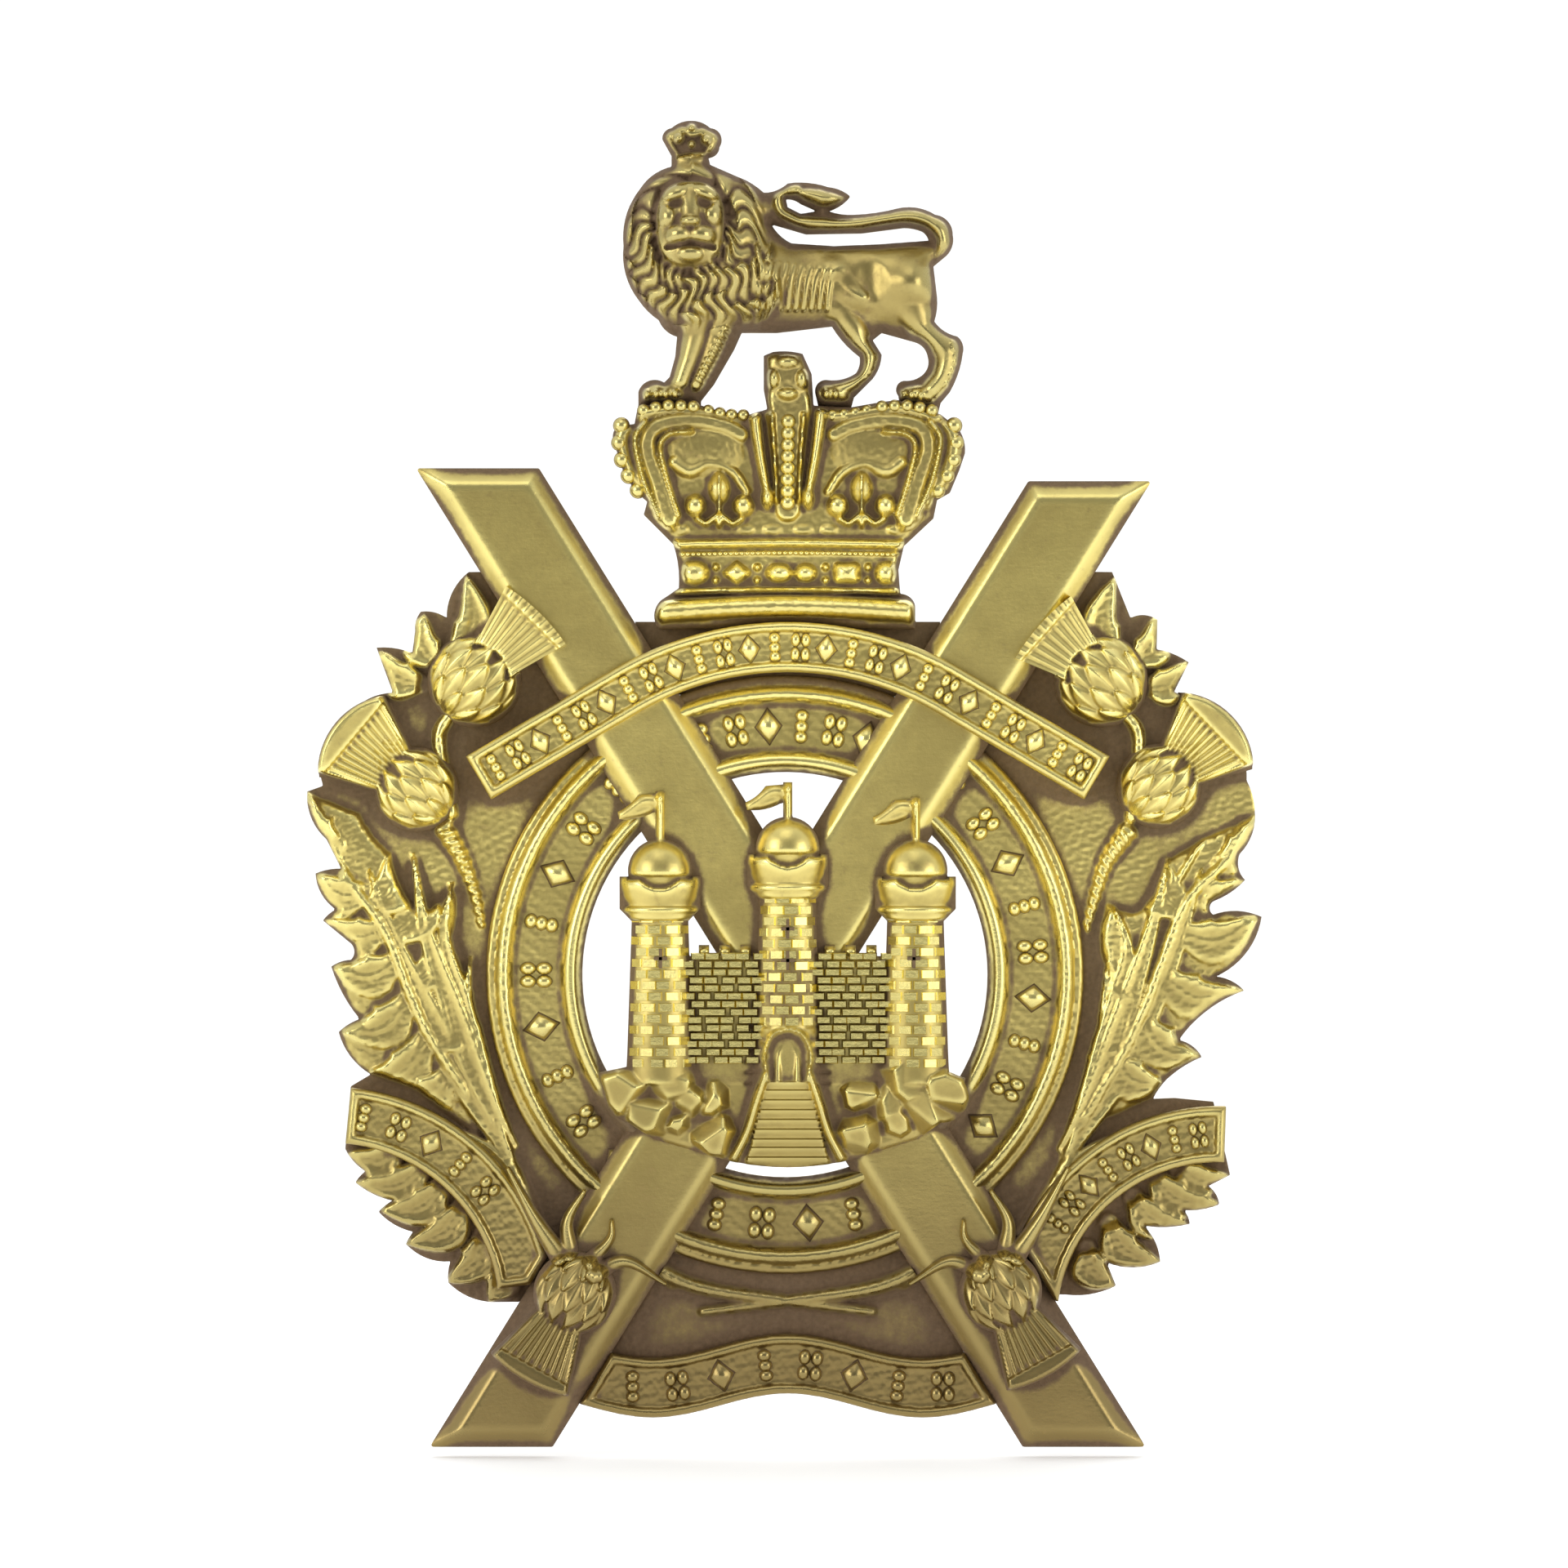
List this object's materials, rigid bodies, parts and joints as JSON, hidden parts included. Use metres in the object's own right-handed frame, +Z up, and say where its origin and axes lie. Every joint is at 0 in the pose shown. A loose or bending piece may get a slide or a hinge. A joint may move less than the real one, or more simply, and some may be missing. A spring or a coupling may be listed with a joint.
{
  "type": "cap badge",
  "caption": "Pierced metal cap badge with a lion and crown over a saltire, ring and leaf sprays, with rear loops and a sliding split pin.",
  "frame": {"origin": "midway between the two rear loops, on the plane of the badge's back", "axes": "+X to the right as the badge is read, +Z up, towards the lion, +Y out of the back, so the face looks along -Y"},
  "size_m": [0.0518, 0.012, 0.0719],
  "materials": {
    "struck_brass": "aged gilding metal, polished by wear on the high parts, brown dirt in the recesses",
    "loop_wire": "drawn wire, dull",
    "solder": "dull grey tin-lead solder",
    "pin_brass": "half-round drawn wire, lightly worn"
  },
  "bodies": {
    "badge": {"saltire": "struck_brass", "circlet": "struck_brass", "top_scroll": "struck_brass", "left_scroll": "struck_brass", "right_scroll": "struck_brass", "bottom_scroll": "struck_brass", "bottom_web": "struck_brass", "left_spray": "struck_brass", "right_spray": "struck_brass", "castle": "struck_brass", "crown": "struck_brass", "lion": "struck_brass", "upper_left_thistle": "struck_brass", "outer_left_thistle": "struck_brass", "upper_right_thistle": "struck_brass", "outer_right_thistle": "struck_brass", "lower_left_thistle": "struck_brass", "lower_right_thistle": "struck_brass", "left_loop": "loop_wire", "right_loop": "loop_wire", "left_solder": "solder", "right_solder": "solder"},
    "cotter_pin": {"split_pin": "pin_brass"}
  },
  "joints": [
    {"name": "pin_slide", "type": "slide", "parent": "badge", "child": "cotter_pin", "axis": [1, 0, 0], "range_m": [0, 0.038]}
  ]
}
